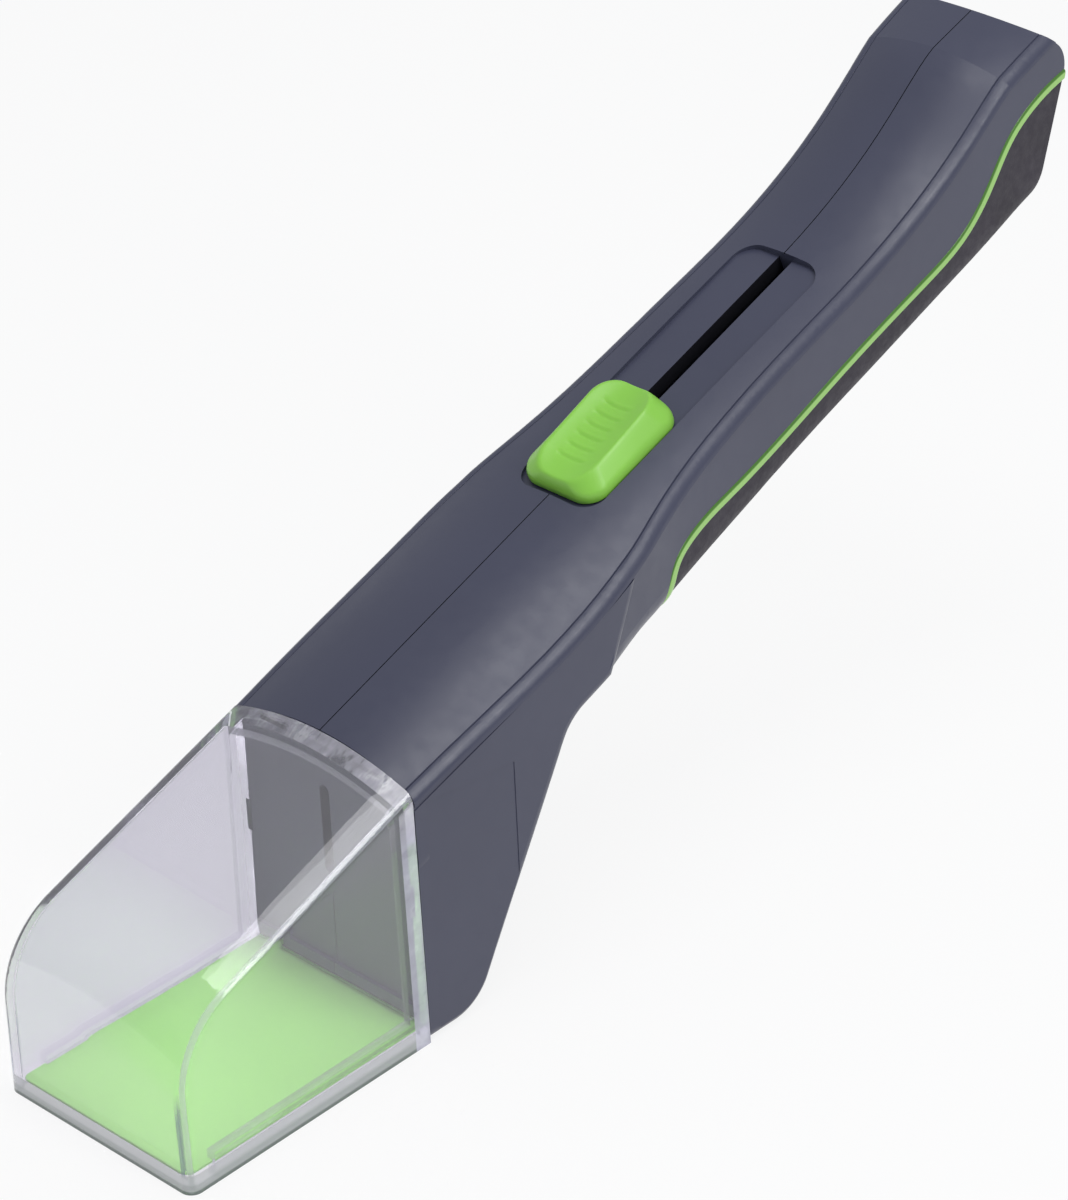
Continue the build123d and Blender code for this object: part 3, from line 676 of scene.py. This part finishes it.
def make_door():
    """The shutter's front run: a thin sheet with softened edges. Its rear edge stays
    at the slit while the front edge draws back, as the rest goes up into the head."""
    low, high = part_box("shutter_door")
    front_radius, rear_radius, corner_steps = 1.5 * MM, 0.4 * MM, 8
    edge = 0.14 * MM
    soft = 0.3 * edge

    def ring_of(inset, level):
        ring = []
        for hand_x, hand_y, radius, first in (
            (1, -1, front_radius, -90),
            (1, 1, rear_radius, 0),
            (-1, 1, rear_radius, 90),
            (-1, -1, front_radius, 180),
        ):
            middle_x = (high.x - radius) * hand_x
            middle_y = (high.y - radius) if hand_y > 0 else (low.y + radius)
            for step in range(corner_steps + 1):
                turn = radians(first + step * 90 / corner_steps)
                x = middle_x + (radius - inset) * cos(turn)
                y = middle_y + (radius - inset) * sin(turn)
                ring.append(Vector((x, y, level)))
        return ring

    rings = [
        ring_of(edge, low.z),
        ring_of(soft, low.z + soft),
        ring_of(0.0, low.z + edge),
        ring_of(0.0, high.z - edge),
        ring_of(soft, high.z - soft),
        ring_of(edge, high.z),
    ]
    count = len(rings[0])
    points = [point for ring in rings for point in ring]
    numbers = [range(row * count, (row + 1) * count) for row in range(len(rings))]
    faces = [tuple(numbers[0]), tuple(numbers[-1])]
    for lower, upper in zip(numbers, numbers[1:]):
        faces += rows_joined(lower, upper, closed=True)
    door = mesh_object("shutter_front", points, faces, SHUTTER)
    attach(door, "door")
    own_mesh(door)
    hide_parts("shutter_door")


def make_tail():
    """The shutter's rear run, cut across between the rear wall and the clamp, where it
    gives."""
    pieces, cut_reach = 16, 1e-7
    work = welded("shutter_tail")
    tail = place_object("shutter_strap", bpy.data.meshes.new("shutter_strap"))
    tail.data.materials.append(SHUTTER)
    heading = along(1.0, 0.0) - along(0.0, 0.0)
    for step in range(pieces + 1):
        reach = STRAP_START + (CLAMP_START - STRAP_START) * step / pieces
        bmesh.ops.bisect_plane(
            work,
            geom=work.verts[:] + work.edges[:] + work.faces[:],
            dist=cut_reach,
            plane_co=along(reach, STRAP_LEVEL),
            plane_no=heading,
        )
    finish_mesh(tail, work, SHEET_SHARP_ANGLE)
    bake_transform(tail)
    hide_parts("shutter_tail")


# Green strips: how many points follow their edges before and after the butt's corner,
# and a place between their front and rear ends
STRIP_POINTS = 340
BUTT_POINTS = 50
STRIP_MIDDLE_Y = 180.0 * MM


def long_edges(node):
    """The four long edges of a strip's solid as rows of points from its front end to
    its rear end: outer upper, outer lower, inner upper, inner lower. They are its sharp
    edges that don't lie on the middle plane, and where they branch at the butt's
    corner, the row goes on along the edge that climbs least."""
    middle_plane = 1e-5
    upwards = along(0.0, 1.0) - along(0.0, 0.0)
    work = welded(node)
    beside = {}
    for edge in work.edges:
        at_middle = all(abs(vert.co.x) < middle_plane for vert in edge.verts)
        if edge.calc_face_angle() > radians(SHARP_ANGLE) and not at_middle:
            for vert in edge.verts:
                beside.setdefault(vert, []).append(edge)

    def climb(edge):
        start, end = edge.verts
        return abs((end.co - start.co).normalized().dot(upwards))

    rows = []
    for vert, found in beside.items():
        if len(found) == 1 and vert.co.y < STRIP_MIDDLE_Y:
            row, edge = [vert], found[0]
            while edge:
                row.append(edge.other_vert(row[-1]))
                onward = [other for other in beside[row[-1]] if other is not edge]
                edge = min(onward, key=climb, default=None)
            rows.append([other.co.copy() for other in row])
    work.free()

    def stand(row):
        return sum(abs(point.x) for point in row) / len(row)

    def level(row):
        return sum(point.dot(upwards) for point in row) / len(row)

    rows.sort(key=stand, reverse=True)
    outer, inner = rows[:2], rows[2:]
    return sorted(outer, key=level, reverse=True) + sorted(
        inner, key=level, reverse=True
    )


def resampled(row):
    """Points at equal shares of a row's length, before the butt's corner and after."""
    corner = max(range(len(row)), key=lambda k: abs(row[k].x) + row[k].y)
    made = []
    for part, count in ((row[: corner + 1], STRIP_POINTS), (row[corner:], BUTT_POINTS)):
        places = np.array(part)
        steps = np.linalg.norm(np.diff(places, axis=0), axis=1)
        run = np.concatenate(((0.0,), np.cumsum(steps)))
        for at in np.linspace(0.0, run[-1], count)[1 if made else 0 :]:
            made.append([np.interp(at, run, places[:, axis]) for axis in range(3)])
    return np.array(made)


def strip_profile(width, depth):
    """A strip's section in millimetres, from its upper inner corner round to its lower
    one, as places across the outer face and down from it: a broad rounded shoulder
    above and a narrow one below."""
    upper_reach, upper_drop = 1.3, 0.5
    lower_reach, lower_drop = 0.35, 0.22
    steps = 6
    profile = [(0.0, depth)]
    for turn in np.linspace(0.0, np.pi / 2, steps + 1):
        profile.append((upper_reach * (1 - cos(turn)), upper_drop * (1 - sin(turn))))
    for turn in np.linspace(np.pi / 2, 0.0, steps + 1):
        profile.append(
            (width - lower_reach * (1 - cos(turn)), lower_drop * (1 - sin(turn)))
        )
    return profile + [(width, depth)]


def make_trims():
    """The green strips, drawn between the long edges of their solids."""
    width, depth = 2.3, 1.55
    profile = strip_profile(width, depth)
    for hand in ("left", "right"):
        upper, lower, inner_upper, inner_lower = (
            resampled(row) for row in long_edges(f"{hand}_trim")
        )
        count = len(upper)
        points = []
        for across, down in profile:
            outer = upper + (lower - upper) * (across / width)
            inner = inner_upper + (inner_lower - inner_upper) * (across / width)
            points.extend(outer + (inner - outer) * (down / depth))
        lines = [range(k * count, (k + 1) * count) for k in range(len(profile))]
        faces = []
        for line, after in zip(lines, lines[1:] + lines[:1]):
            faces += rows_joined(line, after)
        faces.append(tuple(line[0] for line in lines))
        faces.append(tuple(line[-1] for line in lines))
        trim = mesh_object(f"{hand}_edge_strip", points, faces, TRIM)
        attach(trim, "housing")
        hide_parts(f"{hand}_trim")


make_button()
make_door()
make_tail()
make_trims()


# Floor, light and camera
def make_floor():
    """A plain white floor that still takes the object's soft shadow."""
    half, gap = 3.0, 0.0003
    seen_share, through_share = 0.85, 0.5
    mesh = bpy.data.meshes.new("floor")
    mesh.from_pydata(
        [(-half, -half, 0), (half, -half, 0), (half, half, 0), (-half, half, 0)],
        [],
        [(0, 1, 2, 3)],
    )
    floor = place_object("floor", mesh)
    floor.location = (0, 0, -gap)
    made = Material("floor_white")
    made.set(Base_Color=(0.88, 0.88, 0.88, 1.0), Roughness=0.9, Specular_IOR_Level=0.1)
    path = made.add("ShaderNodeLightPath")
    seen = made.largest(path.outputs["Is Camera Ray"], path.outputs["Is Glossy Ray"])
    share = made.largest(
        made.product(seen, seen_share),
        made.product(path.outputs["Is Transmission Ray"], through_share),
    )
    white = made.add("ShaderNodeEmission")
    white.inputs["Strength"].default_value = 1.0
    made.give_way(share, white)
    mesh.materials.append(made.made)


def make_world():
    """Soft, slightly cool light from all around."""
    world = bpy.data.worlds.new("studio")
    bpy.context.scene.world = world
    world.use_nodes = True
    back = world.node_tree.nodes["Background"]
    back.inputs["Color"].default_value = (0.93, 0.95, 1.0, 1.0)
    back.inputs["Strength"].default_value = 0.5


def area_light(name, place, size, power):
    """A rectangular white lamp that shines on the object's middle."""
    data = bpy.data.lights.new(name, "AREA")
    data.shape = "RECTANGLE"
    data.size, data.size_y = size
    data.energy = power
    lamp = place_object(name, data)
    lamp.location = place
    direction = Vector(LAMP_AIM) - Vector(place)
    lamp.rotation_euler = direction.to_track_quat("-Z", "Y").to_euler()


def make_camera():
    data = bpy.data.cameras.new("camera")
    data.lens = CAMERA_LENS
    data.sensor_width = CAMERA_SENSOR
    data.clip_end = CAMERA_REACH
    camera = place_object("camera", data)
    camera.location = CAMERA_PLACE
    camera.rotation_euler = Euler([radians(angle) for angle in CAMERA_TURN])
    bpy.context.scene.camera = camera


make_floor()
make_world()
make_camera()
area_light("overhead", place=(0.25, 0.1, 1.25), size=(0.5, 1.0), power=5.4)
area_light("key", place=(0.95, 0.15, 0.95), size=(0.16, 0.9), power=4.1)
bpy.context.scene.view_settings.view_transform = "Standard"
